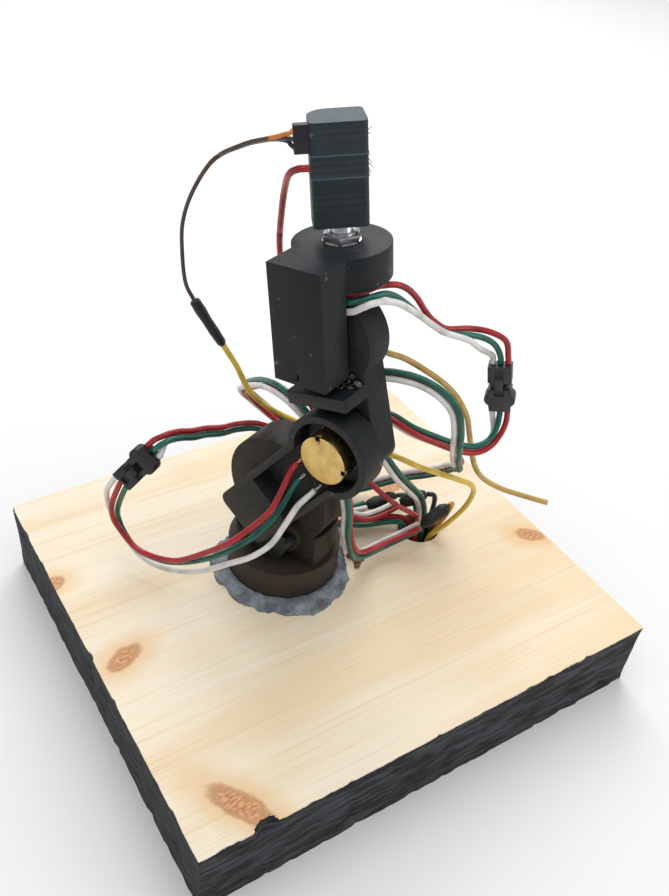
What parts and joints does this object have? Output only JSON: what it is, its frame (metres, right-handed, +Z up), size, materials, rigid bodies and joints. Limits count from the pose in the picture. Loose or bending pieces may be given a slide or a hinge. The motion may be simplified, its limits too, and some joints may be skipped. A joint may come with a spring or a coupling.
{
  "type": "serial teaching arm",
  "caption": "Serial teaching arm of printed links on potentiometer pivots, with a twist grip at its tip, glued by its base ring to a wooden board with trailing signal leads.",
  "frame": {"origin": "centre of the board's underside", "axes": "+X along the board's front edge, +Y to its back, +Z up"},
  "size_m": [0.18, 0.165, 0.2038],
  "materials": {
    "pine": "planed softwood board with knots, charred sides",
    "putty": "finger-pressed blue-grey adhesive putty",
    "ring_print": "brown-black printed plastic with layer lines",
    "arm_print": "black printed plastic with fine layer lines",
    "handle_print": "slate printed plastic with layer lines",
    "can_brass": "brass-coloured pressed can",
    "wafer_board": "brown phenolic wafer with tinned lugs",
    "pot_zinc": "bright plated bushing, nut and shaft",
    "screw_steel": "dark plated screw",
    "housing_nylon": "black moulded nylon",
    "lead_pvc": "PVC insulation in red, green and white",
    "ribbon_pvc": "brown flat ribbon of bonded wires",
    "tan_pvc": "yellow-tan PVC insulation",
    "red_pvc": "red PVC insulation",
    "sleeve_pvc": "black shrunk sleeve"
  },
  "bodies": {
    "base_group": {"board": "pine", "putty_skirt": "putty", "base_ring": "ring_print", "yaw_pot_can": "can_brass", "yaw_pot_wafer": "wafer_board", "yaw_pot_bushing": "pot_zinc", "yaw_pot_nut": "pot_zinc", "yaw_lead": "lead_pvc", "hole_sleeves": "sleeve_pvc", "hole_loom": "lead_pvc"},
    "turret_group": {"turret": "arm_print", "shaft_clamp": "arm_print", "clamp_screw": "screw_steel", "yaw_pot_shaft": "pot_zinc", "shoulder_pot_can": "can_brass", "shoulder_pot_wafer": "wafer_board", "shoulder_pot_bushing": "pot_zinc", "shoulder_pot_nut": "pot_zinc", "elbow_plug": "housing_nylon", "elbow_socket": "housing_nylon", "elbow_pigtail": "lead_pvc", "shoulder_lead": "lead_pvc"},
    "lower_arm_group": {"lower_arm": "arm_print", "shoulder_pot_shaft": "pot_zinc", "elbow_pot_can": "can_brass", "elbow_pot_wafer": "wafer_board", "elbow_pot_bushing": "pot_zinc", "elbow_pot_nut": "pot_zinc", "elbow_lead": "lead_pvc"},
    "upper_arm_group": {"upper_arm": "arm_print", "elbow_pot_shaft": "pot_zinc", "wrist_pot_can": "can_brass", "wrist_pot_wafer": "wafer_board", "wrist_pot_bushing": "pot_zinc", "wrist_pot_nut": "pot_zinc", "twist_plug": "housing_nylon", "twist_socket": "housing_nylon", "twist_pigtail": "lead_pvc", "wrist_lead": "lead_pvc", "tan_lead": "tan_pvc"},
    "wrist_group": {"wrist_block": "arm_print", "wrist_pot_shaft": "pot_zinc", "twist_pot_can": "can_brass", "twist_pot_wafer": "wafer_board", "twist_pot_bushing": "pot_zinc", "twist_pot_nut": "pot_zinc", "twist_lead": "lead_pvc"},
    "handle_group": {"handle": "handle_print", "twist_pot_shaft": "pot_zinc", "header_housing": "housing_nylon", "signal_ribbon": "ribbon_pvc", "signal_sleeve": "sleeve_pvc", "signal_wire": "tan_pvc", "handle_lead": "red_pvc"}
  },
  "joints": [
    {"name": "base_yaw", "type": "hinge", "parent": "base_group", "child": "turret_group", "pos_m": [-0.011, 0.008, 0.03], "axis": [0, 0, 1], "range_deg": [-90, 90], "deforming": ["elbow_pigtail", "shoulder_lead"]},
    {"name": "shoulder", "type": "hinge", "parent": "turret_group", "child": "lower_arm_group", "pos_m": [-0.011, 0.008, 0.07], "axis": [-0.9272, -0.3746, 0], "range_deg": [-60, 85], "deforming": ["elbow_lead"]},
    {"name": "elbow", "type": "hinge", "parent": "lower_arm_group", "child": "upper_arm_group", "pos_m": [-0.0008, -0.01724, 0.10831], "axis": [0.9272, 0.3746, 0], "range_deg": [-55, 120], "deforming": ["twist_pigtail", "wrist_lead", "tan_lead", "twist_plug", "twist_socket"]},
    {"name": "wrist_pitch", "type": "hinge", "parent": "upper_arm_group", "child": "wrist_group", "pos_m": [-0.00455, -0.00797, 0.14102], "axis": [-0.9272, -0.3746, 0], "range_deg": [-90, 90], "deforming": ["twist_lead"]},
    {"name": "handle_twist", "type": "hinge", "parent": "wrist_group", "child": "handle_group", "pos_m": [-0.00681, -0.00451, 0.16852], "axis": [-0.0547, 0.1354, 0.9893], "range_deg": [-120, 120], "deforming": ["signal_ribbon", "signal_sleeve", "signal_wire", "handle_lead"]}
  ]
}
